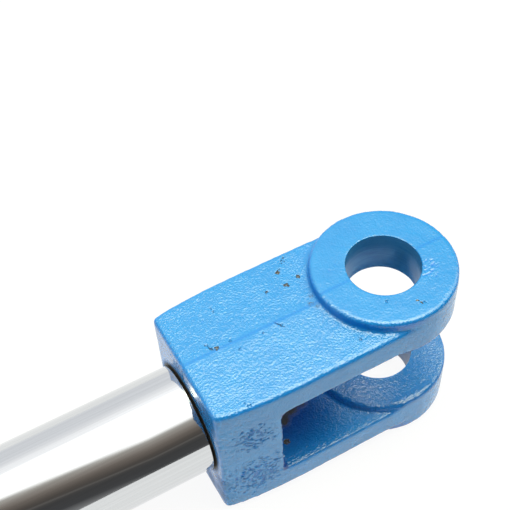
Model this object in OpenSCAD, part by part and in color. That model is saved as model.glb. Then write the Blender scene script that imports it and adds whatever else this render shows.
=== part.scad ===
// Piston rod of a double-acting farm cylinder, with the fork clevis on its outer end.
// The origin is the middle of the pin eye. The rod runs along X, with the piston end
// at negative X, and the pin axis is Z. All sizes are in millimetres and degrees.

/* [Rod] */
// Diameter of the ground and chrome-plated bar
rod_d = 38.1; // [34:0.1:42]
// Chrome length from the clevis face to the piston shoulder
rod_len = 264; // [160:1:420]
// Chamfer on the shoulder that seats in the clevis
shoulder_chamfer = 1; // [0.5:0.1:1.5]
// Length of the slim taper that lets the piston end into the gland seals
lead_len = 5; // [2:0.5:8]
// Angle of that taper
lead_angle = 18; // [10:1:25]
// Mouth diameter of the lathe centre in each end of the bar
centre_d = 8; // [5:0.5:10]
// Pilot diameter of the lathe centre
centre_pilot_d = 3.2; // [2:0.1:4]
// Depth of the pilot beyond its countersink
centre_pilot_len = 4; // [2:0.5:6]

/* [Rod threads] */
// Major diameter of the thread that carries the clevis
clevis_thread_d = 25.4; // [22:0.1:28]
// Set-back of the threaded end from the floor of the fork
thread_set_back = 0.8; // [0.3:0.1:2]
// Width of the tool run-out at the shoulder
relief_w = 2.5; // [1.5:0.1:3.5]
// Depth of the tool run-out below the thread crest
relief_depth = 1.7; // [1.2:0.1:2]
// Diameter of the ground seat for the piston
piston_seat_d = 28.6; // [28.2:0.1:31]
// Length of the piston seat
piston_seat_len = 38; // [25:1:50]
// Major diameter of the thread for the piston nut
nut_thread_d = 25.4; // [23:0.1:27]
// Length of the nut thread
nut_thread_len = 28; // [20:1:36]
// Chamfer on the start of each thread
thread_chamfer = 1.8; // [1:0.1:2.4]

/* [Clevis casting] */
// Distance from the rod-end face to the pin axis
eye_to_face = 76.2; // [72:0.1:84]
// Width across the ears
ear_w = 50.5; // [49:0.1:54]
// Swell of each side from the rod-end face to the ears
flare_swell = 2.45; // [1.5:0.05:3.5]
// Length over which the sides swell
flare_len = 30; // [20:1:36]
// Height of the body along the parting line
body_h = 59.8; // [58:0.1:61]
// Moulding draft of the faces on each side of the parting line
draft = 1.4; // [0.5:0.1:2]
// Radius of the cast outer edges
edge_r = 1.3; // [0.9:0.1:1.6]
// Radius of the four upright corners at the rod end
corner_r = 1.8; // [1.7:0.1:3]

/* [Fork] */
// Distance from the floor of the fork to the pin axis
fork_depth = 54.4; // [52:0.1:56]
// Height of the fork gap along the parting line
fork_gap = 36; // [35:0.1:37.5]
// Radius in the two corners of the fork floor
fork_root_r = 3.2; // [2:0.1:5]

/* [Eye] */
// Bore for the clevis pin
pin_d = 25.8; // [24:0.1:28]
// Chamfer on the outer mouths of the pin bore
pin_chamfer = 0.3; // [0.2:0.1:0.8]
// Ledge by which the round bosses stand inside the sides of the ears
boss_ledge = 0.25; // [0.1:0.05:1]
// Height across the two outer boss faces
boss_span = 66.8; // [65:0.1:69]
// Gap between the two inner boss faces
boss_gap = 33; // [31.5:0.1:34]
// Radius on the rim of each boss
boss_rim_r = 0.6; // [0.4:0.1:1]
// Fillet at the foot of each boss
boss_foot_r = 0.8; // [0.5:0.1:1.4]

/* [Rod hole] */
// Gap between the thread crest and the tapped hole
thread_fit = 0.05; // [0.03:0.01:0.1]

/* [Set screw] */
// Diameter of the set screw that locks the thread
screw_d = 7.9; // [6:0.1:9]
// Depth of the set screw's outer end below the side of the casting
screw_recess = 2.2; // [0.5:0.1:4]
// Width of its hexagon socket across the flats
screw_hex = 4; // [3:0.1:4.5]
// Depth of the hexagon socket
screw_hex_depth = 4.5; // [3:0.1:5]
// Chamfer on both ends of the set screw
screw_chamfer = 0.8; // [0.5:0.1:1.2]
// Gap between the set screw and its tapped hole
screw_fit = 0.05; // [0.03:0.01:0.1]

/* [Hidden] */
$fn = 96;
// Play by which a cutter runs past the metal it cuts
past = 1;
// Stations along X, from the fork towards the piston end
fork_floor_x = -fork_depth;
thread_end_x = fork_floor_x - thread_set_back;
face_x = -eye_to_face;
shoulder_x = face_x - rod_len;
nut_thread_x = shoulder_x - piston_seat_len;
tip_x = nut_thread_x - nut_thread_len;
lead_d = rod_d - 2 * lead_len * tan(lead_angle);
// Half sizes of the casting
ear_r = ear_w / 2;
half_h = body_h / 2;
flare_r = (flare_len * flare_len + flare_swell * flare_swell) / (2 * flare_swell);
flare_x = face_x + flare_len;
flare_steps = 6;
// Half width of the casting in plan, and half height of its draft face at a distance from Y = 0
function half_w(x) = x >= flare_x ? ear_r : ear_r - flare_r + sqrt(pow(flare_r, 2) - pow(flare_x - x, 2));
function draft_h(y) = half_h - y * tan(draft);
boss_r = ear_r - boss_ledge;
boss_top = boss_span / 2;
boss_foot = half_h - ear_r * tan(draft);
// Set screw: half way along the thread, bearing on its crest
screw_x = (face_x + fork_floor_x) / 2;
screw_y = clevis_thread_d / 2 + thread_fit;
screw_len = half_w(screw_x) - screw_recess - screw_y;
// A lathe centre has a 60 degree countersink
centre_len = (centre_d - centre_pilot_d) / 2 / tan(30);

// A stretch of turned bar from x0 to x1, straight or tapered
module turned(x0, x1, d0, d1) {
    translate([x0, 0, 0])
        rotate([0, 90, 0])
            cylinder(h = x1 - x0, d1 = d0, d2 = d1);
}

// Lathe centre, cut from an end face at x in the direction dir
module lathe_centre(x, dir) {
    translate([x, 0, 0])
        rotate([0, 90 * dir, 0]) {
            translate([0, 0, -past])
                cylinder(h = past + centre_len + centre_pilot_len, d = centre_pilot_d);
            cylinder(h = centre_len, d1 = centre_d, d2 = centre_pilot_d);
        }
}

// One bar, turned at both ends and left at full size between them
module piston_rod() {
    color([0.80, 0.81, 0.83])
    difference() {
        union() {
            // threaded end that the clevis screws on to, with its run-out
            turned(thread_end_x - thread_chamfer, thread_end_x,
                clevis_thread_d, clevis_thread_d - 2 * thread_chamfer);
            turned(face_x + relief_w, thread_end_x - thread_chamfer, clevis_thread_d, clevis_thread_d);
            turned(face_x, face_x + relief_w,
                clevis_thread_d - 2 * relief_depth, clevis_thread_d - 2 * relief_depth);
            // plated length, from the seating shoulder to the lead-in taper
            turned(face_x - shoulder_chamfer, face_x, rod_d, rod_d - 2 * shoulder_chamfer);
            turned(shoulder_x + lead_len, face_x - shoulder_chamfer, rod_d, rod_d);
            turned(shoulder_x, shoulder_x + lead_len, lead_d, rod_d);
            // piston seat and nut thread
            turned(nut_thread_x + thread_chamfer, shoulder_x, piston_seat_d, piston_seat_d);
            turned(nut_thread_x, nut_thread_x + thread_chamfer, nut_thread_d, piston_seat_d);
            turned(tip_x + thread_chamfer, nut_thread_x, nut_thread_d, nut_thread_d);
            turned(tip_x, tip_x + thread_chamfer, nut_thread_d - 2 * thread_chamfer, nut_thread_d);
        }
        lathe_centre(thread_end_x, -1);
        lathe_centre(tip_x, 1);
    }
}

// Round-edged puck that stands for one corner of the cast block
module edge_puck() {
    rotate_extrude($fn = 32) {
        translate([0, -edge_r])
            square([corner_r - edge_r, 2 * edge_r]);
        intersection() {
            translate([corner_r - edge_r, 0])
                circle(edge_r, $fn = 32);
            translate([0, -edge_r])
                square([corner_r, 2 * edge_r]);
        }
    }
}

// Outer form of the casting without its bosses: flared in plan, drafted to a ridge at Y = 0
module cast_block() {
    hull() {
        for (i = [0 : flare_steps], sy = [-1, 1], sz = [-1, 1]) {
            x = face_x + corner_r + i * (flare_len - corner_r) / flare_steps;
            w = half_w(i == 0 ? face_x : x);
            translate([x, sy * (w - corner_r), sz * (draft_h(w - edge_r) - edge_r)])
                edge_puck();
        }
        for (sy = [-1, 1], sz = [-1, 1])
            translate([0, sy * (ear_r - corner_r), sz * (draft_h(ear_r - edge_r) - edge_r)])
                edge_puck();
        for (x = [face_x + edge_r, 0], sz = [-1, 1])
            translate([x, 0, sz * (half_h - edge_r)])
                sphere(edge_r, $fn = 32);
        cylinder(h = 2 * (draft_h(ear_r) - edge_r), r = ear_r, center = true);
    }
}

// Outer boss with a rounded rim, standing on the upper ear
module outer_boss() {
    rotate_extrude() {
        translate([0, fork_gap / 2 + boss_foot_r])
            square([boss_r - boss_rim_r, boss_top - fork_gap / 2 - boss_foot_r]);
        translate([0, fork_gap / 2 + boss_foot_r])
            square([boss_r, boss_top - boss_rim_r - fork_gap / 2 - boss_foot_r]);
        translate([boss_r - boss_rim_r, boss_top - boss_rim_r])
            circle(boss_rim_r);
    }
    // fillet at its foot, only where the ear reaches beyond the boss
    intersection() {
        rotate_extrude()
            difference() {
                translate([boss_r - past, boss_foot - past])
                    square([past + boss_foot_r, past + boss_foot_r]);
                translate([boss_r + boss_foot_r, boss_foot + boss_foot_r])
                    circle(boss_foot_r);
            }
        translate([-ear_w, edge_r - ear_r, 0])
            cube([ear_w, ear_w - 2 * edge_r, body_h]);
    }
}

// Inner boss on the upper ear, kept when the fork gap is cut
module inner_boss() {
    rotate_extrude()
        difference() {
            translate([0, boss_gap / 2])
                square([boss_r + boss_foot_r, body_h / 2 - boss_gap / 2]);
            translate([boss_r + boss_foot_r, boss_gap / 2])
                circle(boss_foot_r);
        }
}

// Gap between the ears: drafted each way from the parting line, with a rounded floor
module fork_cut() {
    reach = fork_depth + ear_w;
    half_y = ear_r + past;
    half_z = fork_gap / 2 + half_y * tan(draft);
    difference() {
        intersection() {
            translate([fork_floor_x, 0, 0])
                rotate([90, 0, 90])
                    linear_extrude(height = reach)
                        polygon([
                            [-half_y, -half_z],
                            [0, -fork_gap / 2],
                            [half_y, -half_z],
                            [half_y, half_z],
                            [0, fork_gap / 2],
                            [-half_y, half_z]
                        ]);
            translate([0, half_y, 0])
                rotate([90, 0, 0])
                    linear_extrude(height = 2 * half_y) {
                        translate([fork_floor_x + fork_root_r, -half_z])
                            square([reach, 2 * half_z]);
                        translate([fork_floor_x, fork_root_r - half_z])
                            square([reach, 2 * (half_z - fork_root_r)]);
                        for (sz = [-1, 1])
                            translate([fork_floor_x + fork_root_r, sz * (half_z - fork_root_r)])
                                circle(fork_root_r);
                    }
        }
        inner_boss();
        mirror([0, 0, 1])
            inner_boss();
    }
}

// Pin bore through both ears, with chamfered outer mouths
module pin_bore() {
    cylinder(h = boss_span + 2 * past, d = pin_d, center = true);
    for (side = [0, 1])
        mirror([0, 0, side])
            translate([0, 0, boss_top - pin_chamfer])
                cylinder(h = pin_chamfer + past, d1 = pin_d, d2 = pin_d + 2 * (pin_chamfer + past));
}

// Tapped hole for the rod's thread, from the face through to the fork
module rod_hole() {
    hole_d = clevis_thread_d + 2 * thread_fit;
    turned(face_x - past, fork_floor_x + past, hole_d, hole_d);
}

// Tapped hole for the set screw, in from the far side
module screw_hole() {
    translate([screw_x, 0, 0])
        rotate([-90, 0, 0])
            cylinder(h = ear_w, d = screw_d + 2 * screw_fit);
}

// One sand casting, bored and tapped
module rod_clevis() {
    color([0.10, 0.42, 0.78])
    difference() {
        union() {
            cast_block();
            outer_boss();
            mirror([0, 0, 1])
                outer_boss();
        }
        fork_cut();
        pin_bore();
        rod_hole();
        screw_hole();
    }
}

// Headless set screw with a hexagon socket
module clevis_set_screw() {
    color([0.13, 0.13, 0.14])
    translate([screw_x, screw_y, 0])
        rotate([-90, 0, 0])
            difference() {
                union() {
                    cylinder(h = screw_chamfer, d1 = screw_d - 2 * screw_chamfer, d2 = screw_d);
                    translate([0, 0, screw_chamfer])
                        cylinder(h = screw_len - 2 * screw_chamfer, d = screw_d);
                    translate([0, 0, screw_len - screw_chamfer])
                        cylinder(h = screw_chamfer, d1 = screw_d, d2 = screw_d - 2 * screw_chamfer);
                }
                translate([0, 0, screw_len - screw_hex_depth])
                    linear_extrude(height = screw_hex_depth + past)
                        circle(d = screw_hex / cos(30), $fn = 6);
            }
}

piston_rod();
rod_clevis();
clevis_set_screw();
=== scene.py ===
# %% [markdown]
# # A chrome piston rod with its painted fork clevis
# The part is the moving end of a farm cylinder: a hard-chromed bar, and a sand-cast fork that is
# screwed on to it and sprayed blue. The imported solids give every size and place. This lesson dresses
# them: it turns the bar again with real threads, rebuilds the casting with its sandy skin, seam and
# paint chips, and lights both like a studio product picture.

# %% Load the frame
import math

import bmesh
import bpy
import numpy as np
from mathutils import Matrix, Vector


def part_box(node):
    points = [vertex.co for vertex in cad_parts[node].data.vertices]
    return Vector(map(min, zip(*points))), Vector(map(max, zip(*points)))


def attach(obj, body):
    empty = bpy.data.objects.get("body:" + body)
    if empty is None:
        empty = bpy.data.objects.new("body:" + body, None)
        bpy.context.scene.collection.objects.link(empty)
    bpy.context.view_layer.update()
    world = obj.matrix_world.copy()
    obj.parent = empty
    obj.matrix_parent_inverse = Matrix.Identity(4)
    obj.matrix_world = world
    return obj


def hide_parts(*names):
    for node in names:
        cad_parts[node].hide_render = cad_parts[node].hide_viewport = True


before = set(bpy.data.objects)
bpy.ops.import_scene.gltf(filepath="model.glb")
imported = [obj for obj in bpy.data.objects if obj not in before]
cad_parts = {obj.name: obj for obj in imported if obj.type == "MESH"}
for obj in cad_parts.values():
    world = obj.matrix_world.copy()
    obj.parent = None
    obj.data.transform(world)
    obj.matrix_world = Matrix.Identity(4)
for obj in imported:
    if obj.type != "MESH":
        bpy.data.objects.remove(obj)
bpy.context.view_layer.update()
MM = 0.001

# %% [markdown]
# ## Sizes that the pieces share
# A dressed piece has to sit exactly where its solid sits. Most places can be read off the boxes of the
# solids, and the few sizes that a box doesn't show are repeated from the construction.

# %% Sizes in metres
rod_low, rod_high = (Vector(c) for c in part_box("piston_rod"))
fork_low, fork_high = (Vector(c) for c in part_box("rod_clevis"))
screw_low, screw_high = (Vector(c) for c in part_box("clevis_set_screw"))

# Places along the bar.
TIP_X = rod_low.x
FACE_X = fork_low.x
THREAD_END_X = rod_high.x
FORK_FLOOR_X = -54.4 * MM
PLATED_LENGTH, PISTON_LENGTH, LEAD = 264 * MM, 38 * MM, 5 * MM
SHOULDER_X = FACE_X - PLATED_LENGTH
SEAT_END_X = SHOULDER_X - PISTON_LENGTH
SCREW_X = (screw_low.x + screw_high.x) / 2

# Radii, and heights above the middle of the fork.
ROD_R, EAR_R = rod_high.z, fork_high.x
PIN_R, THREAD_R, SCREW_R = 12.9 * MM, 12.7 * MM, 4.0 * MM
HOLE_R = THREAD_R + 0.05 * MM
BOSS_TOP, INNER_BOSS = fork_high.z, 16.5 * MM
print("rod radius mm", round(ROD_R / MM, 3), "clevis face mm", round(FACE_X / MM, 2))

# %% [markdown]
# ## Camera
# The picture looks down on the fork from the piston side. The place, turn and focal length come from
# matching the edges of the real eye, fork and bar, so straight edges and ellipses fall where they do
# in the picture. A camera matrix has right, up and backward as its columns.

# %% Camera
FOCAL_PX, FRAME_PX, SENSOR = 1000.12, 510, 36
camera = bpy.data.objects.new("camera", bpy.data.cameras.new("camera"))
bpy.context.collection.objects.link(camera)
camera.data.sensor_width = SENSOR
camera.data.lens = SENSOR * FOCAL_PX / FRAME_PX
camera.data.clip_start = 0.01
right = Vector((0.87438, -0.48328, -0.04344))
down = Vector((-0.39507, -0.65707, -0.64202))
forward = Vector((0.28173, 0.57853, -0.76546))
place = Matrix((right, -down, -forward)).transposed().to_4x4()
place.translation = Vector((-131.22, -171.53, 294.69)) * MM
camera.matrix_world = place
bpy.context.scene.camera = camera
print("lens", round(camera.data.lens, 2))

# %% [markdown]
# ## Helpers for colours and nodes
# Colours are written as the hex values that a paint chart would give, and turned to linear light once.
# Every node tree below is built with one function. It adds a node, sets its properties, and fills its
# inputs, in order from a list or by name from a dictionary. An input gets a value, or a link from a
# socket, or a link from the first output that another node has in use. A ramp also gets its stops.

# %% Helpers for colours and nodes
MATH, VECTOR, RANGE = "ShaderNodeMath", "ShaderNodeVectorMath", "ShaderNodeMapRange"
NOISE, RAMP, MIX, BUMP = "ShaderNodeTexNoise", "ShaderNodeValToRGB", "ShaderNodeMix", "ShaderNodeBump"
PLACE, SPLIT, MAPPING = "ShaderNodeTexCoord", "ShaderNodeSeparateXYZ", "ShaderNodeMapping"
SURFACE, OUTPUT = "ShaderNodeBsdfPrincipled", "ShaderNodeOutputMaterial"
COLOUR_A, COLOUR_B = 6, 7  # the two colour inputs of a Mix node


def linear(hex_colour):
    parts = [int(hex_colour[i:i + 2], 16) / 255 for i in (1, 3, 5)]
    return [c / 12.92 if c <= 0.04045 else ((c + 0.055) / 1.055) ** 2.4 for c in parts] + [1.0]


def add(tree, kind, inputs=(), stops=(), **settings):
    node = tree.nodes.new(kind)
    for name, value in settings.items():
        setattr(node, name, value)
    for key, value in inputs.items() if isinstance(inputs, dict) else enumerate(inputs):
        if isinstance(value, bpy.types.Node):
            value = next(socket for socket in value.outputs if socket.enabled)
        if isinstance(value, bpy.types.NodeSocket):
            tree.links.new(value, node.inputs[key])
        else:
            node.inputs[key].default_value = value
    for index, (position, colour) in enumerate(stops):
        elements = node.color_ramp.elements
        element = elements[index] if index < len(elements) else elements.new(position)
        element.position, element.color = position, colour
    return node


WHITE = linear("#FFFFFF")
print("white", WHITE)

# %% [markdown]
# ## Studio
# Chrome has no colour of its own: it shows the room. The bands on the real bar say what stood around
# it: a bright, slightly warm light bank overhead, a pale wall on the far side, and on the camera's
# side a dark room down to the edge of the white table. The world is painted as that room, by the angle
# of a direction from straight up towards the camera's side. The dark side begins earlier to the left,
# and all of it is dimmer towards both ends of the bar, where the bank stops. Camera rays see plain
# white instead.

# %% The room's bands
BANK = 7.6
room = [  # angle in degrees, tint, brightness
    (-180, "#FFFFFF", 1.0), (-90, "#FAFCFF", 0.94), (-62, "#FAFCFF", 0.94), (-52, "#FCFDFF", 1.04),
    (-42, "#FFFFFF", 1.2), (-32, "#FFFFFF", 1.4), (-24, "#FFFFF4", 2.4), (-12, "#FFFFE0", BANK),
    (20, "#FFFFE0", BANK), (25, "#FFFFF4", 2.4), (29, "#FFFFFF", 1.7), (33, "#FFFEFA", 1.4),
    (36, "#FFFDF6", 0.85), (38, "#FFFAF2", 0.58), (41, "#FFF8EC", 0.45), (45, "#FFF4E8", 0.37),
    (51, "#FFF0E2", 0.27), (55, "#FFEEDF", 0.205), (61, "#FFEEDF", 0.148), (66, "#FFF0E2", 0.11),
    (70.5, "#FFF4EA", 0.09), (73, "#FFF8F0", 0.15), (75.5, "#FFFAF5", 0.085), (81, "#FFFFFF", 0.066),
    (97, "#FAFCFF", 0.075), (120, "#FFFFFF", 0.4), (180, "#FFFFFF", 1.0),
]
stops = [((degrees + 180) / 360, [c * level / BANK for c in linear(tint)[:3]] + [1])
         for degrees, tint, level in room]
print("room stops", len(stops))

# %% World as a small studio
LEAN = math.radians(31)
ENDS = 0.4
world = bpy.data.worlds.new("studio")
bpy.context.scene.world = world
world.use_nodes = True
tree = world.node_tree
tree.nodes.clear()
along, aside, up = add(tree, SPLIT, [add(tree, PLACE).outputs["Generated"]]).outputs
to_camera = add(tree, MATH, [aside, -1.0], operation="MULTIPLY")
angle = add(tree, MATH, [to_camera, up], operation="ARCTAN2")
lean = add(tree, RANGE, {"Value": along, "From Min": 0.09, "From Max": -0.20, "To Max": LEAN})
near_side = add(tree, MATH, [angle, 0.0], operation="GREATER_THAN")
leaned = add(tree, MATH, [lean, near_side, angle], operation="MULTIPLY_ADD")
turn = add(tree, RANGE, {"Value": leaned, "From Min": -math.pi, "From Max": math.pi})
painted = add(tree, RAMP, [turn], stops=stops)
left_end = add(tree, RANGE, {
    "Value": along, "From Min": -0.55, "From Max": -0.25, "To Min": ENDS, "To Max": 1.0})
both_ends = add(tree, RANGE, {
    "Value": along, "From Min": 0.6, "From Max": 0.28, "To Min": ENDS, "To Max": left_end})
strength = add(tree, MATH, [both_ends, BANK], operation="MULTIPLY")
lit = add(tree, "ShaderNodeBackground", [painted, strength])
plain = add(tree, "ShaderNodeBackground", [WHITE, 1.0])
seen = add(tree, "ShaderNodeLightPath").outputs["Is Camera Ray"]
add(tree, "ShaderNodeOutputWorld", [add(tree, "ShaderNodeMixShader", [seen, lit, plain])])
print("studio nodes", len(tree.nodes))

# %% [markdown]
# ## Floor
# Put down by itself, the part rests on the lower boss and on the piston end of the bar, so the table
# is drawn touching both. It is white card with a soft shadow. Most of what the camera and the chrome
# see of it is a plain white glow, so the background stays white and the shadow stays faint.

# %% Floor
BOSS_FOOT_X = -23.5 * MM
FLOOR_X, FLOOR_Y = (-1.6, 1.4), (-0.2, 1.8)
GLOW = 0.93
slope = (BOSS_TOP - ROD_R) / (BOSS_FOOT_X - SHOULDER_X - LEAD)
corners = [(x, y, -BOSS_TOP + (BOSS_FOOT_X - x) * slope) for y in FLOOR_Y for x in FLOOR_X]
floor_mesh = bpy.data.meshes.new("floor")
floor_mesh.from_pydata(corners, [], [(0, 1, 3, 2)])
floor = bpy.data.objects.new("floor", floor_mesh)
bpy.context.collection.objects.link(floor)
card = bpy.data.materials.new("white card")
card.use_nodes = True
tree = card.node_tree
tree.nodes.clear()
rays = add(tree, "ShaderNodeLightPath").outputs
direct = add(tree, MATH, [rays["Is Camera Ray"], rays["Is Glossy Ray"]], operation="MAXIMUM")
direct = add(tree, MATH, [direct, rays["Is Transmission Ray"]], operation="MAXIMUM")
share = add(tree, MATH, [direct, GLOW], operation="MULTIPLY")
paper = add(tree, "ShaderNodeBsdfDiffuse", {"Color": linear("#EDF1F6")})
glow = add(tree, "ShaderNodeEmission", {"Color": WHITE, "Strength": 1.0})
add(tree, OUTPUT, [add(tree, "ShaderNodeMixShader", [share, paper, glow])])
floor_mesh.materials.append(card)
print("floor slope in degrees", round(math.degrees(math.atan(slope)), 2))

# %% [markdown]
# ## Hard chrome
# The plated length of the bar is a thin layer of hard chromium on ground steel, polished along the
# bar. One way to show polishing is an anisotropic shader, but the export keeps that only as a constant.
# Noise that is stretched along the bar gives the same faint lines in tone and roughness instead.

# %% Hard chrome
def new_material(name):
    material = bpy.data.materials.new(name)
    material.use_nodes = True
    tree = material.node_tree
    tree.nodes.clear()
    return material, tree, add(tree, PLACE).outputs["Object"]


# To the eye: a sharp, nearly neutral mirror, with lines that only just show. The real lines are some
# hundredths of a millimetre apart. They are drawn 0.8 mm apart, because finer ones don't show.
chrome, tree, spot = new_material("hard chrome, polished")
LINE, LINE_LENGTH = 0.8 * MM, 60 * MM
stretched = add(tree, MAPPING, {"Vector": spot, "Scale": (1 / LINE_LENGTH, 1 / LINE, 1 / LINE)})
lines = add(tree, NOISE, {"Vector": stretched, "Scale": 1.0, "Detail": 3.0})
tone = add(tree, RAMP, [lines], stops=[(0.3, linear("#D0D2D4")), (0.7, linear("#DADCDE"))])
rough = add(tree, RANGE, {
    "Value": lines, "From Min": 0.3, "From Max": 0.7, "To Min": 0.035, "To Max": 0.075})
add(tree, OUTPUT, [add(tree, SURFACE, {"Base Color": tone, "Metallic": 1.0, "Roughness": rough})])
print(chrome.name)

# %% [markdown]
# ## Turned steel
# The threads, the piston seat and the ends of the bar are bare steel as the lathe leaves it. The tool
# cuts a fine groove round the bar, so the noise here is squeezed along the bar and stretched round it.

# %% Bare turned steel
# To the eye: a grey metal with a soft, banded shine. The feed marks are drawn 0.25 mm apart, about
# twice as coarse as real ones, so that they show.
turned, tree, spot = new_material("turned steel, bare")
FEED, ROUND_LENGTH = 0.25 * MM, 40 * MM
squeezed = add(tree, MAPPING, {"Vector": spot, "Scale": (1 / FEED, 1 / ROUND_LENGTH, 1 / ROUND_LENGTH)})
marks = add(tree, NOISE, {"Vector": squeezed, "Scale": 1.0, "Detail": 2.0})
tone = add(tree, RAMP, [marks], stops=[(0.3, linear("#A3A5A7")), (0.7, linear("#BDBEBF"))])
rough = add(tree, RANGE, {"Value": marks, "To Min": 0.22, "To Max": 0.42})
bump = add(tree, BUMP, {"Height": marks, "Distance": 0.01 * MM, "Strength": 0.6})
add(tree, OUTPUT, [add(tree, SURFACE, {
    "Base Color": tone, "Metallic": 1.0, "Roughness": rough, "Normal": bump})])
print(turned.name)

# %% [markdown]
# ## Enamel on cast iron: the paint
# The clevis is sprayed with blue alkyd enamel, straight on to the sand-cast iron. Shade is painted into
# its blue: deeper on rims, on shaded walls, on the clevis face, along the seam and in pits, and dark
# inside the fork. Each point of the casting carries how much of that painted shade it has, how chipped
# it is, how much dirt and painted shade lie on it as specks, and how calm it is. Those numbers are
# worked out with the skin below. They are stored on the mesh and read here as attributes, because they
# can then follow the shape and not only a pattern in space.

# %% Paint
# To the eye: a plain, glossy, saturated blue, with painted shade that makes it a little deeper along
# edges and the seam, and dark inside the fork and in pits.
SEAM_Y = 0.1 * MM
CLOUD, FLECK = 9 * MM, 0.45 * MM
enamel, tree, spot = new_material("alkyd enamel on cast iron")
chip, grime_and_shade, recess_shade, deep_shade, calm = (
    add(tree, "ShaderNodeAttribute", attribute_name=name).outputs["Fac"]
    for name in ("chip", "grime_and_shade", "recess_shade", "deep_shade", "calm"))
cloud = add(tree, NOISE, {"Vector": spot, "Scale": 1 / CLOUD, "Detail": 3.0})
fleck = add(tree, NOISE, {"Vector": spot, "Scale": 1 / FLECK, "Detail": 3.0})
paint = add(tree, RAMP, [cloud], stops=[(0.3, linear("#187FC8")), (0.7, linear("#1B84CC"))])
# A darker line along the seam is painted shade of the small step where the mould halves met.
off_seam = add(tree, MATH, [add(tree, SPLIT, [spot]).outputs["Y"], SEAM_Y], operation="SUBTRACT")
off_seam = add(tree, MATH, [off_seam], operation="ABSOLUTE")
seam_shade = add(tree, RANGE, {
    "Value": off_seam, "From Min": 0.9 * MM, "From Max": 0.2 * MM, "To Max": 0.4})
deepest_shade = add(tree, MATH, [deep_shade, seam_shade], operation="MAXIMUM")
# Painted shade: a deeper blue on rims, walls, face, seam and pits, and a dark blue in the fork and steep
# pits.
for share, colour in ((deepest_shade, "#0A70CC"), (recess_shade, "#0C4490")):
    paint = add(tree, MIX, {"Factor": share, COLOUR_A: paint, COLOUR_B: linear(colour)},
                data_type="RGBA")
print(enamel.name, "paint")

# %% [markdown]
# ## Enamel on cast iron: chips, dirt, painted shade and gloss
# A chip goes through the paint to dark, speckled iron, and the deepest ones show a pale filler. Dirt
# stays as specks, and round the seat and on the lower clevis face the same specks are painted shade;
# they are denser where there is more of them. Both are dull, and the paint between is glossy. The sand
# shows through it as a bump, which is weaker where the casting is calm.

# %% Chips, dirt, painted shade and gloss
# To the eye: broken highlights on the paint, and none on a chip. Foundry sand is 0.2 to 0.4 mm, and its
# grain is drawn at 0.72 mm here and at 2 mm in the skin, because finer grain only looks like haze.
SAND = 0.72 * MM
rust = add(tree, RAMP, [fleck], stops=[
    (0.30, linear("#2A2E34")), (0.45, linear("#4C545C")),
    (0.58, linear("#6C7884")), (0.72, linear("#9AA4AC"))])
bare = add(tree, RANGE, {"Value": chip, "From Min": 0.1, "From Max": 0.35})
core = add(tree, RANGE, {"Value": chip, "From Min": 0.7, "From Max": 1.0})
filler = add(tree, RANGE, {"Value": chip, "From Min": 1.0, "From Max": 1.3, "To Max": 0.75})
# Dark specks of dirt. Round the seat and low on the clevis face they are painted shade as well.
speck = add(tree, MATH, [grime_and_shade, 1.2, fleck], operation="MULTIPLY_ADD")
darkened = add(tree, RANGE, {"Value": speck, "From Min": 0.95, "From Max": 1.3})
iron, pale, mud_and_shade = linear("#2A2624"), linear("#ABA8A2"), linear("#332F2A")
iron = add(tree, MIX, {"Factor": core, COLOUR_A: iron, COLOUR_B: rust}, data_type="RGBA")
iron = add(tree, MIX, {"Factor": filler, COLOUR_A: iron, COLOUR_B: pale}, data_type="RGBA")
specked_paint = add(tree, MIX, {"Factor": darkened, COLOUR_A: paint, COLOUR_B: mud_and_shade}, data_type="RGBA")
colour = add(tree, MIX, {"Factor": bare, COLOUR_A: specked_paint, COLOUR_B: iron}, data_type="RGBA")
worn = add(tree, MATH, [bare, grime_and_shade], operation="MAXIMUM")
rough = add(tree, RANGE, {"Value": worn, "To Min": 0.13, "To Max": 0.8})
grain = add(tree, NOISE, {"Vector": spot, "Scale": 1 / SAND, "Detail": 1.5, "Roughness": 0.5})
patchy = add(tree, RANGE, {
    "Value": cloud, "From Min": 0.35, "From Max": 0.65, "To Min": 0.7, "To Max": 1.0})
relief = add(tree, RANGE, {"Value": calm, "To Min": patchy, "To Max": 0.2})
bump = add(tree, BUMP, {"Height": grain, "Distance": 0.32 * MM, "Strength": relief})
add(tree, OUTPUT, [add(tree, SURFACE, {
    "Base Color": colour, "Roughness": rough, "IOR": 1.55, "Specular IOR Level": 0.7, "Normal": bump})])
print(enamel.name, "nodes", len(tree.nodes))

# %% [markdown]
# ## Bored iron with overspray
# The eye is bored after casting, and the spray that drifts into it later covers most of the bright
# wall. A mix of a painted and a metallic surface says that in one shader, with the share of metal from
# noise that is squeezed along the bore, as the marks of a boring tool are.

# %% Bored wall with overspray
# To the eye: a smooth blue wall with a metallic shine that comes and goes in rings.
bored, tree, spot = new_material("bored iron with overspray")
DRIFT, RING = 9 * MM, 0.6 * MM
squeezed = add(tree, MAPPING, {"Vector": spot, "Scale": (1 / DRIFT, 1 / DRIFT, 1 / RING)})
drift = add(tree, NOISE, {"Vector": squeezed, "Scale": 1.0, "Detail": 3.0})
metal = add(tree, RANGE, {
    "Value": drift, "From Min": 0.35, "From Max": 0.75, "To Min": 0.1, "To Max": 0.45})
colour = add(tree, MIX, {"Factor": metal, COLOUR_A: linear("#045E9E"), COLOUR_B: linear("#5E98BC")},
             data_type="RGBA")
bump = add(tree, BUMP, {"Height": drift, "Distance": 0.02 * MM, "Strength": 0.7})
add(tree, OUTPUT, [add(tree, SURFACE, {
    "Base Color": colour, "Metallic": metal, "Roughness": 0.3, "Normal": bump})])
print(bored.name)
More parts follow.
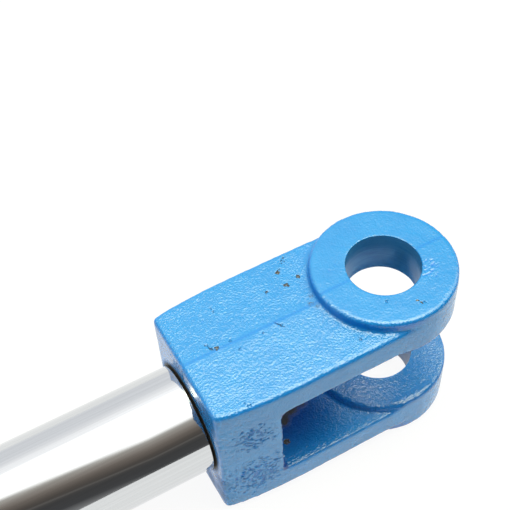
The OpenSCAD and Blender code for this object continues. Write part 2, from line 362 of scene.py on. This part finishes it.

# %% [markdown]
# ## Oily dirt with painted shade, and black oxide
# Two finishes hide in corners. Where the bar seats on the clevis, oil has held dirt for years, and its
# near-black is painted shade in the gap there. The set screw on the far side is blackened in a hot salt
# bath, which leaves a thin dark oxide on the steel.

# %% Oily dirt and painted shade where the rod seats
# To the eye: nearly black, as painted shade of the gap, with brown smears of dirt, and only half dull,
# because the oil is still there.
oily, tree, spot = new_material("oily dirt on iron")
SMEAR = 2.5 * MM
smear = add(tree, NOISE, {"Vector": spot, "Scale": 1 / SMEAR, "Detail": 4.0})
tone = add(tree, RAMP, [smear], stops=[
    (0.35, linear("#22201E")), (0.55, linear("#2E2823")), (0.75, linear("#54402E"))])
bump = add(tree, BUMP, {"Height": smear, "Distance": 0.1 * MM, "Strength": 0.8})
add(tree, OUTPUT, [add(tree, SURFACE, {"Base Color": tone, "Roughness": 0.6, "Normal": bump})])
print(oily.name)

# %% Black oxide on the set screw
# To the eye: a black metal with a cloudy, satin shine.
blackened, tree, spot = new_material("black oxide steel")
HAZE = 1.5 * MM
haze = add(tree, NOISE, {"Vector": spot, "Scale": 1 / HAZE, "Detail": 3.0})
tone = add(tree, RAMP, [haze], stops=[(0.3, linear("#141416")), (0.75, linear("#2B2B2D"))])
rough = add(tree, RANGE, {"Value": haze, "To Min": 0.35, "To Max": 0.6})
add(tree, OUTPUT, [add(tree, SURFACE, {"Base Color": tone, "Metallic": 0.7, "Roughness": rough})])
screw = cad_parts["clevis_set_screw"]
screw.data.materials.clear()
screw.data.materials.append(blackened)
print(blackened.name)

# %% [markdown]
# ## The bar
# The real bar is turned in a lathe: its whole shape is a line of radii along an axis. The same line is
# written here and swept round, with the lathe centres in both ends. Under the threads it stops at the
# root of the thread, and the thread itself is wound on in the next step. Many steps round keep the
# mirror of the plated length smooth.

# %% The line of radii
INCH = 25.4 * MM
CLEVIS_PITCH, NUT_PITCH = INCH / 12, INCH / 14
DEPTH_SHARE = 0.6134  # depth of an inch thread, as a share of its pitch
clevis_depth, nut_depth = DEPTH_SHARE * CLEVIS_PITCH, DEPTH_SHARE * NUT_PITCH
CHAMFER, EDGE = 1.8 * MM, 1 * MM
SEAT_R = 14.3 * MM
RUN_OUT, RUN_OUT_R = 2.5 * MM, THREAD_R - 1.7 * MM
CENTRE_R, PILOT_R, PILOT = 4 * MM, 1.6 * MM, 4 * MM
LEAD_ANGLE, CENTRE_ANGLE = math.radians(18), math.radians(30)
lead_r = ROD_R - LEAD * math.tan(LEAD_ANGLE)
CENTRE = (CENTRE_R - PILOT_R) / math.tan(CENTRE_ANGLE)
profile = [
    (TIP_X + CENTRE + PILOT, 0), (TIP_X + CENTRE + PILOT, PILOT_R), (TIP_X + CENTRE, PILOT_R),
    (TIP_X, CENTRE_R), (TIP_X, THREAD_R - CHAMFER), (TIP_X + CHAMFER - nut_depth, THREAD_R - nut_depth),
    (SEAT_END_X, THREAD_R - nut_depth), (SEAT_END_X, THREAD_R), (SEAT_END_X + CHAMFER, SEAT_R),
    (SHOULDER_X, SEAT_R), (SHOULDER_X, lead_r), (SHOULDER_X + LEAD, ROD_R), (FACE_X - EDGE, ROD_R),
    (FACE_X, ROD_R - EDGE), (FACE_X, RUN_OUT_R), (FACE_X + RUN_OUT, RUN_OUT_R),
    (FACE_X + RUN_OUT, THREAD_R - clevis_depth),
    (THREAD_END_X - CHAMFER + clevis_depth, THREAD_R - clevis_depth), (THREAD_END_X, THREAD_R - CHAMFER),
    (THREAD_END_X, CENTRE_R), (THREAD_END_X - CENTRE, PILOT_R), (THREAD_END_X - CENTRE - PILOT, PILOT_R),
    (THREAD_END_X - CENTRE - PILOT, 0),
]
# One finish for each stretch between two points: the piston end, the plating, the seat, the clevis end.
PLATED, TURNED, SEATING = 0, 1, 2
slots = [TURNED] * 10 + [PLATED] * 2 + [SEATING] * 2 + [TURNED] * 8
print("points", len(profile), "length mm", round((THREAD_END_X - TIP_X) / MM, 2))

# %% Turn the bar
def lathe(name, profile, materials, slots=None, steps=128):
    bm = bmesh.new()
    turns = [2 * math.pi * i / steps for i in range(steps)]
    rings = []
    for x, r in profile:
        if r == 0:
            rings.append([bm.verts.new((x, 0, 0))])
        else:
            rings.append([bm.verts.new((x, r * math.cos(t), r * math.sin(t))) for t in turns])
    for index, (a, b) in enumerate(zip(rings, rings[1:])):
        for i in range(steps):
            j = (i + 1) % steps
            if len(a) == 1:
                face = bm.faces.new((a[0], b[j], b[i]))
            elif len(b) == 1:
                face = bm.faces.new((a[i], a[j], b[0]))
            else:
                face = bm.faces.new((a[i], a[j], b[j], b[i]))
            face.smooth = True
            face.material_index = slots[index] if slots else 0
    bmesh.ops.recalc_face_normals(bm, faces=bm.faces)
    mesh = bpy.data.meshes.new(name)
    bm.to_mesh(mesh)
    bm.free()
    mesh.set_sharp_from_angle(angle=math.radians(20))
    for material in materials:
        mesh.materials.append(material)
    piece = bpy.data.objects.new(name, mesh)
    bpy.context.collection.objects.link(piece)
    return piece


bar = lathe("piston_rod_bar", profile, [chrome, turned, oily], slots, steps=192)
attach(bar, "root")
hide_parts("piston_rod")
print("bar faces", len(bar.data.polygons))

# %% [markdown]
# ## The threads
# A screw thread follows a rule: a triangle carried along a helix. Geometry Nodes has both halves of it,
# a spiral curve and a three-sided profile, so one tree winds both threads from their radius, pitch and
# length. The spiral is reversed, because a right-handed thread is the usual one, and its ends fade, as
# a thread runs out where the tool is drawn back.

# %% Tree that winds a thread
def new_tree(name, inputs):
    tree = bpy.data.node_groups.new(name, "GeometryNodeTree")
    tree.interface.new_socket("Geometry", in_out="OUTPUT", socket_type="NodeSocketGeometry")
    for label, kind in inputs.items():
        tree.interface.new_socket(label, in_out="INPUT", socket_type=kind)
    return tree, add(tree, "NodeGroupInput").outputs


FLOAT, GEOMETRY, MATERIAL = "NodeSocketFloat", "NodeSocketGeometry", "NodeSocketMaterial"
TRIANGLE_SHARE = 0.86  # side of the triangle, as a share of the pitch
winder, given = new_tree("wound thread", {
    "Start": FLOAT, "Length": FLOAT, "Major Radius": FLOAT, "Pitch": FLOAT, "Material": MATERIAL})
point_r = add(winder, MATH, [given["Pitch"], TRIANGLE_SHARE / math.sqrt(3)], operation="MULTIPLY")
path_r = add(winder, MATH, [given["Major Radius"], point_r], operation="SUBTRACT")
turns = add(winder, MATH, [given["Length"], given["Pitch"]], operation="DIVIDE")
helix = add(winder, "GeometryNodeCurveSpiral", {
    "Resolution": 72, "Rotations": turns, "Start Radius": path_r, "End Radius": path_r,
    "Height": given["Length"], "Reverse": True})
upright = add(winder, "GeometryNodeSetCurveNormal", [helix], mode="Z_UP")
from_middle = add(winder, MATH, [add(winder, "GeometryNodeSplineParameter"), 0.5], operation="SUBTRACT")
from_middle = add(winder, MATH, [from_middle], operation="ABSOLUTE")
fade = add(winder, RANGE, {
    "Value": from_middle, "From Min": 0.5, "From Max": 0.46, "To Min": 0.05, "To Max": 1.0})
faded = add(winder, "GeometryNodeSetCurveRadius", {"Curve": upright, "Radius": fade})
triangle = add(winder, "GeometryNodeCurvePrimitiveCircle", {"Resolution": 3, "Radius": point_r})
wound = add(winder, "GeometryNodeCurveToMesh", {
    "Curve": faded, "Profile Curve": triangle, "Fill Caps": True})
lift = add(winder, "ShaderNodeCombineXYZ", {"X": given["Start"]})
laid = add(winder, "GeometryNodeTransform", {
    "Geometry": wound, "Translation": lift, "Rotation": (0, math.pi / 2, 0)})
whole = add(winder, "GeometryNodeRealizeInstances", [laid])
dressed = add(winder, "GeometryNodeSetMaterial", {"Geometry": whole, "Material": given["Material"]})
add(winder, "NodeGroupOutput", [dressed])
print("wound thread nodes", len(winder.nodes))

# %% Wind the two threads
# What the modifiers make becomes the piece's own plain mesh.
def bake(piece):
    mesh = bpy.data.meshes.new_from_object(piece.evaluated_get(bpy.context.evaluated_depsgraph_get()))
    piece.modifiers.clear()
    piece.data = mesh


# An input of the tree is set by the identifier of its socket.
def run_tree(piece, tree, values):
    modifier = piece.modifiers.new(tree.name, "NODES")
    modifier.node_group = tree
    for item in tree.interface.items_tree:
        if item.in_out == "INPUT" and item.name in values:
            modifier[item.identifier] = values[item.name]
    bake(piece)


# All values of one kind, with a row for each of their axes.
def read(items, label, width=1):
    flat = np.empty(len(items) * width)
    items.foreach_get(label, flat)
    return flat.reshape(-1, width).T


LEAD_IN = 0.6 * CHAMFER
FIRST_TURN_X = FACE_X + RUN_OUT + CLEVIS_PITCH / 2
for name, start, end, pitch in (
        ("piston_nut_thread", TIP_X + LEAD_IN, SEAT_END_X - NUT_PITCH, NUT_PITCH),
        ("clevis_end_thread", FIRST_TURN_X, THREAD_END_X - LEAD_IN, CLEVIS_PITCH)):
    thread = bpy.data.objects.new(name, bpy.data.meshes.new(name))
    bpy.context.collection.objects.link(thread)
    run_tree(thread, winder, {
        "Start": start, "Length": end - start, "Major Radius": THREAD_R, "Pitch": pitch,
        "Material": turned})
    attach(thread, "root")
    x, y, z = read(thread.data.vertices, "co", 3) / MM
    print(name, "crest mm", np.hypot(y, z).max().round(2), "x mm", x.min().round(1), x.max().round(1))

# %% [markdown]
# ## The casting, first as the moulder leaves it
# A casting has no sharp edges: the sand can't hold them. A copy of the solid is filled in where it will
# be bored, remeshed into even little squares and relaxed. That gives soft edges and an even skin to
# work on, which bevels on a shape with so many blends would not. The holes are cut again later, crisp,
# as on the real one.

# %% Fill the bores
# Each plug has two ends and a radius. It reaches past the wall of its hole, and the bosses get a core.
fills = []
for sign in (-1, 1):
    fills.append(((0, 0, sign * INNER_BOSS), (0, 0, sign * BOSS_TOP), PIN_R + 1.5 * MM))
    fills.append(((0, 0, sign * 24 * MM), (0, 0, sign * (BOSS_TOP - 0.8 * MM)), EAR_R - 0.05 * MM))
fills.append(((FACE_X, 0, 0), (FORK_FLOOR_X, 0, 0), HOLE_R + 1 * MM))
fills.append(((SCREW_X, 10 * MM, 0), (SCREW_X, 24 * MM, 0), SCREW_R + 0.3 * MM))
bm = bmesh.new()
bm.from_mesh(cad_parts["rod_clevis"].data)
bmesh.ops.remove_doubles(bm, verts=bm.verts, dist=1e-6)
for start, end, radius in fills:
    axis = Vector(end) - Vector(start)
    turn = axis.to_track_quat("Z", "Y").to_matrix().to_4x4()
    middle = Matrix.Translation((Vector(start) + Vector(end)) / 2)
    bmesh.ops.create_cone(bm, cap_ends=True, segments=96, radius1=radius, radius2=radius,
                          depth=axis.length, matrix=middle @ turn)
blank = bpy.data.meshes.new("rod_clevis_casting")
bm.to_mesh(blank)
bm.free()
casting = bpy.data.objects.new("rod_clevis_casting", blank)
bpy.context.collection.objects.link(casting)
print("plugs", len(fills))

# %% Remesh and relax
VOXEL = 0.62 * MM
remesh = casting.modifiers.new("even squares", "REMESH")
remesh.mode = "VOXEL"
remesh.voxel_size = VOXEL
relax = casting.modifiers.new("relax", "SMOOTH")
relax.factor = 0.5
relax.iterations = 1
bake(casting)
print("casting vertices", len(casting.data.vertices), "faces", len(casting.data.polygons))

# %% [markdown]
# ## Chips, dirt, painted shade and pitted patches
# Handling has knocked small chips through the paint, dirt has stayed in a few places, and the sand has
# left pits in three patches. A few more dark spots, and the darker dents, are painted shade. Each is a
# spot with a place, a reach and a strength, written one by one, because a scatter would not put them
# where the real ones are. The spots are points of a small mesh that the skin reads. Where they lie, the
# squares are split in four, so that a ragged edge has enough points.

# %% Spots in millimetres
TOP, BOSS, NEAR, FORK, FACE = 29.8, 33.4, -25.2, -18.3, -76.2
# A dent keeps its paint. Its small strength only darkens it there, as painted shade.
TAN, BARE, CRACK, DENT_SHADE = 1.5, 1.0, 0.32, 0.2
chips = [
    (-63.1, 0.6, TOP, 0.95, BARE), (-65.5, 3.7, TOP, 0.4, CRACK), (-65.4, 3.1, TOP, 0.42, CRACK),
    (-65.3, 2.5, TOP, 0.42, CRACK), (-65.1, 1.9, TOP, 0.42, CRACK), (-64.8, 1.3, TOP, 0.42, CRACK),
    (-64.4, 0.8, TOP, 0.45, CRACK), (-57.4, 16.6, 29.4, 0.45, DENT_SHADE), (-57.4, 15.8, 29.4, 0.5, DENT_SHADE),
    (-57.4, 14.9, 29.4, 0.55, DENT_SHADE), (-30.7, 18.2, 29.5, 0.95, BARE),
    (-29.5, 19.2, 29.4, 0.5, CRACK), (-26.0, 23.0, 29.3, 0.4, CRACK), (-26.9, 22.4, 29.4, 0.4, CRACK),
    (-27.8, 21.4, 29.4, 0.4, CRACK), (-26.4, 21.7, 29.4, 0.4, CRACK), (-25.7, 13.0, 29.6, 0.85, BARE),
    (-30.9, 11.9, 29.6, 1.0, BARE), (-38.2, 12.7, 29.6, 0.6, BARE), (-42.2, -0.7, TOP, 0.42, CRACK),
    (-41.8, -1.1, TOP, 0.42, CRACK), (-41.4, -1.6, TOP, 0.42, CRACK), (-41.0, -2.0, TOP, 0.42, CRACK),
    (-40.7, -2.5, TOP, 0.42, CRACK), (-40.3, -3.0, TOP, 0.4, CRACK),
    (-58.2, 1.2, TOP, 0.5, DENT_SHADE), (-57.2, -3.2, TOP, 0.5, DENT_SHADE), (-47.5, -1.6, TOP, 0.45, DENT_SHADE),
    (-21.5, -19.6, 29.4, 0.7, DENT_SHADE), (-65.3, -21.9, 29.2, 0.4, DENT_SHADE), (-64.9, -23.0, 29.2, 0.45, DENT_SHADE),
    (-63.9, -23.3, 29.2, 0.45, DENT_SHADE), (-63.1, -22.6, 29.2, 0.4, DENT_SHADE), (-22.7, 11.1, 29.6, 0.5, CRACK),
    (1.2, -18.5, BOSS, 0.42, TAN), (1.6, -19.8, BOSS, 0.45, TAN), (2.6, -19.9, BOSS, 0.4, DENT_SHADE),
    (-7.9, -13.6, BOSS, 0.6, DENT_SHADE), (FACE, 4.0, 26.0, 0.6, CRACK), (FACE, -3.0, 25.4, 0.5, CRACK),
    (FACE, -7.0, 24.0, 0.7, CRACK), (FACE, 9.0, 25.0, 0.5, CRACK), (-48.0, -16.0, FORK, 1.2, 0.8),
]
# Dark spots: dirt by the boss and high on the clevis face, painted shade low on that face, and a smudge
# in the fork.
dirt = [
    (-28.2, 0.9, 29.5, 2.6, 0.48), (-26.8, -1.4, 29.5, 2.2, 0.5), (-26.4, 3.4, 29.5, 2.0, 0.48),
    (-45.0, -7.5, FORK, 4.4, 0.8), (-40.5, -5.0, FORK, 4.6, 0.8), (-36.0, -4.5, FORK, 3.8, 0.7),
    (FACE, -21.0, -14.0, 6.0, 0.46), (FACE, -20.0, -22.0, 7.0, 0.46), (FACE, -12.0, -24.0, 7.0, 0.46),
    (FACE, 6.0, 24.0, 5.0, 0.4), (FACE, -4.0, 24.0, 4.5, 0.4),
]
patches = [(-65.0, NEAR, 11.5, 11, 1.0), (-64.5, NEAR, -13.0, 17, 1.0), (12.4, -8.6, BOSS, 5.6, 0.5)]
print("chips", len(chips), "dirt", len(dirt), "patches", len(patches))

# %% Points that the skin reads
def store(mesh, columns):
    for label, values in columns.items():
        mesh.attributes.new(label, "FLOAT", "POINT").data.foreach_set("value", values)


def point_mesh(name, rows, first_dark_spot):
    mesh = bpy.data.meshes.new(name)
    mesh.from_pydata([[c * MM for c in row[:3]] for row in rows], [], [])
    store(mesh, {"reach": [row[3] * MM for row in rows], "bare": [row[4] for row in rows],
                 "is_dirt": [float(i >= first_dark_spot) for i in range(len(rows))]})
    points = bpy.data.objects.new(name, mesh)
    bpy.context.collection.objects.link(points)
    return points


spot_points = point_mesh("spots", chips + dirt, len(chips))
patch_points = point_mesh("patches", patches, len(patches))
print("points", len(spot_points.data.vertices), len(patch_points.data.vertices))

# %% Split the squares near them
def split_near(mesh, rows, grow, margin):
    bm = bmesh.new()
    bm.from_mesh(mesh)
    centres = [(Vector(row[:3]) * MM, (row[3] * grow + margin) * MM) for row in rows]
    chosen = [f for f in bm.faces if any((f.calc_center_median() - c).length < r for c, r in centres)]
    edges = list({edge for face in chosen for edge in face.edges})
    bmesh.ops.subdivide_edges(bm, edges=edges, cuts=1, use_grid_fill=True)
    bm.to_mesh(mesh)
    bm.free()
    print("faces after splitting", len(mesh.polygons))


split_near(casting.data, patches, grow=1.0, margin=0.0)
split_near(casting.data, chips, grow=1.2, margin=0.9)
split_near(casting.data, chips, grow=1.1, margin=0.5)

# %% [markdown]
# ## Where the skin differs
# The skin of a casting isn't the same all over. There is a step where the halves of the mould met, a
# lip along the inner edges of the fork, and upright edges that broke out of the sand ragged. Each such
# place is a share from 0 to 1 at every point, worked out from where the point is and which way it
# faces. It starts at the first number of a call and is full at the second. Nodes could do this too,
# but arrays say it in a line each. Sizes in this cell and the next are in millimetres.

# %% Edges, lip and seat
def eased(value, start, end):
    share = np.clip((value - start) / (end - start), 0, 1)
    return share * share * (3 - 2 * share)


SEAM_STEP, LIP_HEIGHT, CRISP_HEIGHT = 0.18, 0.35, 0.35
x, y, z = read(casting.data.vertices, "co", 3) / MM
nx, ny, nz = read(casting.data.vertices, "normal", 3)
from_face, from_seam, from_axis = x - FACE_X / MM, y - SEAM_Y / MM, np.hypot(y, z)
flat = eased(abs(nz), 0.9, 0.98)  # faces up or down
steep = eased(abs(nz), 0.75, 0.35)  # stands upright
rim = eased(abs(nz), 0.97, 0.8) * eased(abs(nz), 0.1, 0.4)  # rounds over between the two
corner = abs(nx * ny)  # turns from one upright side to the next
near_side = eased(y, -15, -20)
in_fork = eased(abs(z), 18.9, 18.1) * eased(x, -54.9, -54.3)
LIP_Y = 23
lip = in_fork * flat * eased(abs(abs(y) - LIP_Y), 1.5, 0)
crisp = near_side * eased(corner, 0.2, 0.5) * eased(from_face, 5, 3) * eased(abs(z), 27, 23)
ragged = near_side * eased(corner, 0.1, 0.3) * eased(x, -28, -32)
raised = SEAM_STEP * eased(from_seam, 0.3, -0.3) + LIP_HEIGHT * lip + CRISP_HEIGHT * crisp
seat = eased(from_axis, 24, 20) * eased(from_face, 3, 1)
# Round the seat the face darkens: oily dirt, and painted shade in the corner beside the bar.
oily_film_and_shade = eased(from_axis, 22.4, 18.5) * eased(from_face, 3, 1)
print("lip points", int((lip > 0.5).sum()), "seat points", int((seat > 0.5).sum()))

# %% [markdown]
# ## Calm skin and painted shade
# The skin is calmer on the boss faces, on the steep walls, beside the seam and inside the fork, and
# never on a rim. Shade is painted on as a deeper blue on the rims, on the rod's side of the boss walls
# and on the clevis face, and as a dark blue inside the fork.

# %% Calm skin and painted shade
in_shade = in_fork * np.maximum(eased(x, -14, -40), 0.3)
boss_face = eased(abs(z), 31, 32) * flat
beside_seam = eased(abs(from_seam), 3, 1) * flat
walls = steep * (1 - 0.6 * eased(abs(ny), 0.5, 0.9))
calm = np.maximum.reduce([0.75 * boss_face, 0.5 * beside_seam, walls, 0.75 * in_shade])
calm *= 1 - np.maximum(rim, lip)
# Painted shade: the deeper blue on rims, on the boss walls on the rod's side and at the clevis face.
shaded_boss_wall = eased(abs(z), 29.9, 30.6) * steep * eased(x, 6, -8)
deep_shade = np.maximum.reduce([0.6 * rim, shaded_boss_wall, 0.5 * eased(from_face, 1.0, 0.4)])
store(casting.data, {"calm": calm, "raised": raised * MM, "ragged": ragged, "seat": seat})
print("mean shares", [share.mean().round(3) for share in (calm, deep_shade, in_shade)])

# %% [markdown]
# ## The sand skin
# The mould is packed sand, so the iron copies its grains. One tree moves each point of the skin along
# its normal: by two sizes of noise for the sand, by a third along the ragged edges, by what is raised,
# and down into pits and chips. Nothing moves where the bar seats. Real displacement is used and not
# only a bump, because it breaks the outline and stays in the mesh.

# %% Tree for the skin: its inputs and noises
skin, given = new_tree("sand skin", {
    "Geometry": GEOMETRY, "Spots": "NodeSocketObject", "Patches": "NodeSocketObject",
    "Grain": FLOAT, "Grain Height": FLOAT, "Lump": FLOAT, "Lump Height": FLOAT, "Edge Grain": FLOAT,
    "Edge Height": FLOAT, "Pit Depth": FLOAT, "Chip Depth": FLOAT, "Material": MATERIAL})
position = add(skin, "GeometryNodeInputPosition")
heights = []
for size, tall, detail in (
        ("Grain", "Grain Height", 2.0), ("Lump", "Lump Height", 1.0),
        ("Edge Grain", "Edge Height", 1.0)):
    scale = add(skin, MATH, [1.0, given[size]], operation="DIVIDE")
    field = add(skin, NOISE, {"Vector": position, "Scale": scale, "Detail": detail})
    centred = add(skin, MATH, [field, 0.5], operation="SUBTRACT")
    heights.append(add(skin, MATH, [centred, given[tall]], operation="MULTIPLY"))
sand, lumps, edge_grain = heights
print("noises", len(heights))

# %% [markdown]
# ## Pits and chips in the skin
# Each point looks up the nearest patch and the nearest spot, and how far off it is in terms of their
# reach. For the spots it looks from a place that noise has shifted a little, so that the outline of a
# chip is ragged. In a patch, pits open where a second noise is low, and they close towards its edge.

# %% Look up the nearest patch and spot
WOBBLE, WOBBLE_SIZE = 2.2 * MM, 0.7 * MM
tatter = add(skin, NOISE, {"Vector": position, "Scale": 1 / WOBBLE_SIZE, "Detail": 2.0})
shift = add(skin, VECTOR, [tatter.outputs["Color"], (0.5, 0.5, 0.5)], operation="SUBTRACT")
shift = add(skin, VECTOR, {0: shift, "Scale": WOBBLE}, operation="SCALE")
shifted = add(skin, VECTOR, [position, shift], operation="ADD")
nearest = {}
for target, at in (("Patches", position), ("Spots", shifted)):
    points = add(skin, "GeometryNodeObjectInfo", [given[target]]).outputs["Geometry"]
    index = add(skin, "GeometryNodeSampleNearest", [points, at])
    # A field is read on the points that are sampled, so the same Position node gives their places.
    centre = add(skin, "GeometryNodeSampleIndex", [points, position, index], data_type="FLOAT_VECTOR")
    found = []
    for label in ("reach", "bare", "is_dirt"):
        column = add(skin, "GeometryNodeInputNamedAttribute", [label], data_type="FLOAT")
        found.append(add(skin, "GeometryNodeSampleIndex", [points, column, index], data_type="FLOAT"))
    reach, strength, is_dirt = found
    away = add(skin, VECTOR, [at, centre], operation="DISTANCE")
    nearest[target] = add(skin, MATH, [away, reach], operation="DIVIDE"), strength, is_dirt
print("looked up", sorted(nearest))

# %% Pits, chips and dark spots
PIT = (1.5 * MM, 0.75 * MM, 0.75 * MM)
patch_ratio, patch_depth, _ = nearest["Patches"]
stretched = add(skin, VECTOR, [position, [1 / size for size in PIT]], operation="MULTIPLY")
pit_noise = add(skin, NOISE, {"Vector": stretched, "Scale": 1.0, "Detail": 2.0})
level = add(skin, RANGE, {
    "Value": patch_ratio, "From Min": 0.35, "From Max": 1.0, "To Min": 0.52, "To Max": 0.30})
bottom = add(skin, MATH, [level, 0.10], operation="SUBTRACT")
pits = add(skin, RANGE, [pit_noise, level, bottom], interpolation_type="SMOOTHSTEP")
pitted = add(skin, MATH, [pits, patch_depth], operation="MULTIPLY")
# A dark spot darkens the paint and doesn't dig. It is dirt, and in some places painted shade.
ratio, bareness, darkening = nearest["Spots"]
clean = add(skin, MATH, [1.0, darkening], operation="SUBTRACT")
hollow = add(skin, RANGE, [ratio, 1.1, 0.5], interpolation_type="SMOOTHSTEP")
hollow = add(skin, MATH, [hollow, clean], operation="MULTIPLY")
chipped = add(skin, MATH, [hollow, bareness], operation="MULTIPLY")
soil = add(skin, MATH, [darkening, bareness], operation="MULTIPLY")
darkened = add(skin, RANGE, [ratio, 1.2, 0.2], interpolation_type="SMOOTHSTEP")
darkened = add(skin, MATH, [darkened, soil], operation="MULTIPLY")
print("sand skin nodes so far", len(skin.nodes))

# %% Add the heights up
CALMED = 0.35  # share of the sand that is left where the skin is calm
calm_here, raised_here, ragged_here, seat_here = (
    add(skin, "GeometryNodeInputNamedAttribute", [label], data_type="FLOAT")
    for label in ("calm", "raised", "ragged", "seat"))
lively = add(skin, RANGE, {"Value": calm_here, "To Min": 1.0, "To Max": CALMED})
height = add(skin, MATH, [sand, lumps], operation="ADD")
height = add(skin, MATH, [height, lively, raised_here], operation="MULTIPLY_ADD")
height = add(skin, MATH, [ragged_here, edge_grain, height], operation="MULTIPLY_ADD")
for share, depth in ((pitted, "Pit Depth"), (hollow, "Chip Depth")):
    drop = add(skin, MATH, [share, given[depth]], operation="MULTIPLY")
    height = add(skin, MATH, [height, drop], operation="SUBTRACT")
off_seat = add(skin, MATH, [1.0, seat_here], operation="SUBTRACT")
height = add(skin, MATH, [height, off_seat], operation="MULTIPLY")
normal = add(skin, "GeometryNodeInputNormal")
offset = add(skin, VECTOR, {0: normal, "Scale": height}, operation="SCALE")
stored = given["Geometry"]
for name, field in (("chip", chipped), ("soil", darkened), ("pits", pits)):
    stored = add(skin, "GeometryNodeStoreNamedAttribute", {
        "Geometry": stored, "Name": name, "Value": field}, data_type="FLOAT", domain="POINT")
moved = add(skin, "GeometryNodeSetPosition", {"Geometry": stored, "Offset": offset})
whole = add(skin, "GeometryNodeRealizeInstances", [moved])
dressed = add(skin, "GeometryNodeSetMaterial", {"Geometry": whole, "Material": given["Material"]})
add(skin, "NodeGroupOutput", [dressed])
print("sand skin nodes", len(skin.nodes))

# %% [markdown]
# ## Run the skin
# The tree moves the points and writes where chips, dark spots and pits are. Then the numbers that the
# enamel reads are put together: dark specks also lie in the oily film round the seat, as dirt and as
# painted shade, and painted shade makes the paint deeper in the pits. The numbers that only the tree
# needed are removed.

# %% Give the casting its skin
run_tree(casting, skin, {
    "Spots": spot_points, "Patches": patch_points, "Grain": 2.0 * MM, "Grain Height": 0.30 * MM,
    "Lump": 7 * MM, "Lump Height": 0.35 * MM, "Edge Grain": 1.6 * MM, "Edge Height": 0.8 * MM,
    "Pit Depth": 0.34 * MM, "Chip Depth": 0.35 * MM, "Material": enamel})
for points in (spot_points, patch_points):
    bpy.data.objects.remove(points)
attributes = casting.data.attributes
soil, pits = (read(attributes[name].data, "value")[0] for name in ("soil", "pits"))
store(casting.data, {
    "grime_and_shade": np.maximum(soil, 0.8 * oily_film_and_shade), "deep_shade": np.maximum(deep_shade, 0.8 * pits),
    "recess_shade": np.maximum(in_shade, 0.15 * pits * steep)})
for name in ("soil", "pits", "raised", "ragged", "seat"):
    attributes.remove(attributes[name])
print("skin faces", len(casting.data.polygons), [a.name for a in attributes])

# %% [markdown]
# ## Boring and tapping
# After casting, the eye is bored through both ears, the rod end is drilled and tapped, and the set
# screw gets its hole. Each cutter is turned on the same lathe as the bar, the eye's with a small
# chamfer at its mouths, and taken away with a Boolean, which gives edges as crisp as a tool does.

# %% Cut the holes
PAST = 6 * MM
MOUTH = 0.2 * MM
SINK_Y, SINK, SIDE_Y = 23.6 * MM, 0.8 * MM, 30 * MM
eye = lathe("eye_cutter", [
    (-BOSS_TOP - PAST, 0), (-BOSS_TOP - PAST, PIN_R + MOUTH + PAST), (-BOSS_TOP + MOUTH, PIN_R),
    (BOSS_TOP - MOUTH, PIN_R), (BOSS_TOP + PAST, PIN_R + MOUTH + PAST), (BOSS_TOP + PAST, 0)], [bored])
eye.data.transform(Matrix.Rotation(-math.pi / 2, 4, "Y"))
tapped = lathe("tapped_hole_cutter", [
    (FACE_X - PAST, 0), (FACE_X - PAST, HOLE_R), (FORK_FLOOR_X + PAST, HOLE_R),
    (FORK_FLOOR_X + PAST, 0)], [bored])
hole = lathe("screw_cutter", [
    (0, 0), (0, SCREW_R), (SINK_Y, SCREW_R), (SINK_Y + SINK, SCREW_R + SINK), (SIDE_Y, SCREW_R + SINK),
    (SIDE_Y, 0)], [bored], steps=48)
hole.data.transform(Matrix.Translation((SCREW_X, 0, 0)) @ Matrix.Rotation(math.pi / 2, 4, "Z"))
for cutter in (eye, tapped, hole):
    modifier = casting.modifiers.new("cut", "BOOLEAN")
    modifier.operation = "DIFFERENCE"
    modifier.solver = "EXACT"
    modifier.object = cutter
    bake(casting)
    bpy.data.objects.remove(cutter)
print("casting faces after the cuts", len(casting.data.polygons))

# %% [markdown]
# ## Cleaning the cuts
# Where a cutter grazes a little square it leaves a sliver, and slivers shade badly and open up in an
# STL file. Points that nearly touch are merged first. Faces with many corners or with a very short side
# are split into triangles, and triangles that are thinner than a hair are dissolved.

# %% Clean the cuts
SLIVER, SHORT, HAIR = 0.03 * MM, 0.1 * MM, 0.005 * MM
bm = bmesh.new()
bm.from_mesh(casting.data)
bmesh.ops.remove_doubles(bm, verts=bm.verts, dist=SLIVER)
uneven = [face for face in bm.faces
          if len(face.verts) > 4 or min(edge.calc_length() for edge in face.edges) < SHORT]
bmesh.ops.triangulate(bm, faces=uneven)
bmesh.ops.dissolve_degenerate(bm, edges=bm.edges, dist=HAIR)
bm.to_mesh(casting.data)
bm.free()
print("split faces", len(uneven), "casting faces", len(casting.data.polygons))

# %% [markdown]
# ## Which finish is where
# The walls of the eye and of the screw hole are bored, and the tapped hole gets the oily dirt with
# painted shade. A wall is known by its distance from the axis of its tool and by facing across that
# axis.
# All the rest is enamel.

# %% Give the cut walls their finish
ACROSS = 0.3
x, y, z = read(casting.data.polygons, "center", 3)
nx, ny, nz = read(casting.data.polygons, "normal", 3)
in_eye = (np.hypot(x, y) < PIN_R + 0.1 * MM) & (abs(nz) < ACROSS)
in_tapped = (np.hypot(y, z) < HOLE_R + 0.05 * MM) & (abs(nx) < ACROSS)
in_hole = (np.hypot(x - SCREW_X, z) < SCREW_R + 0.05 * MM) & (y > 12 * MM) & (y < SINK_Y + 0.1 * MM)
casting.data.materials.clear()
for material in (enamel, bored, oily):
    casting.data.materials.append(material)
finish = np.where(in_tapped, 2, np.where(in_eye | in_hole, 1, 0)).astype(np.int32)
casting.data.polygons.foreach_set("material_index", finish)
casting.data.polygons.foreach_set("use_smooth", np.ones(len(finish), dtype=bool))
casting.data.set_sharp_from_angle(angle=math.radians(50))
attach(casting, "root")
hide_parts("rod_clevis")
triangles = sum(len(p.vertices) - 2 for p in casting.data.polygons)
print("wall faces", [int(wall.sum()) for wall in (in_eye, in_tapped, in_hole)], "triangles", triangles)

# %% [markdown]
# ## View
# The standard view keeps colours as they are written.

# %% Finish
bpy.context.scene.view_settings.view_transform = "Standard"
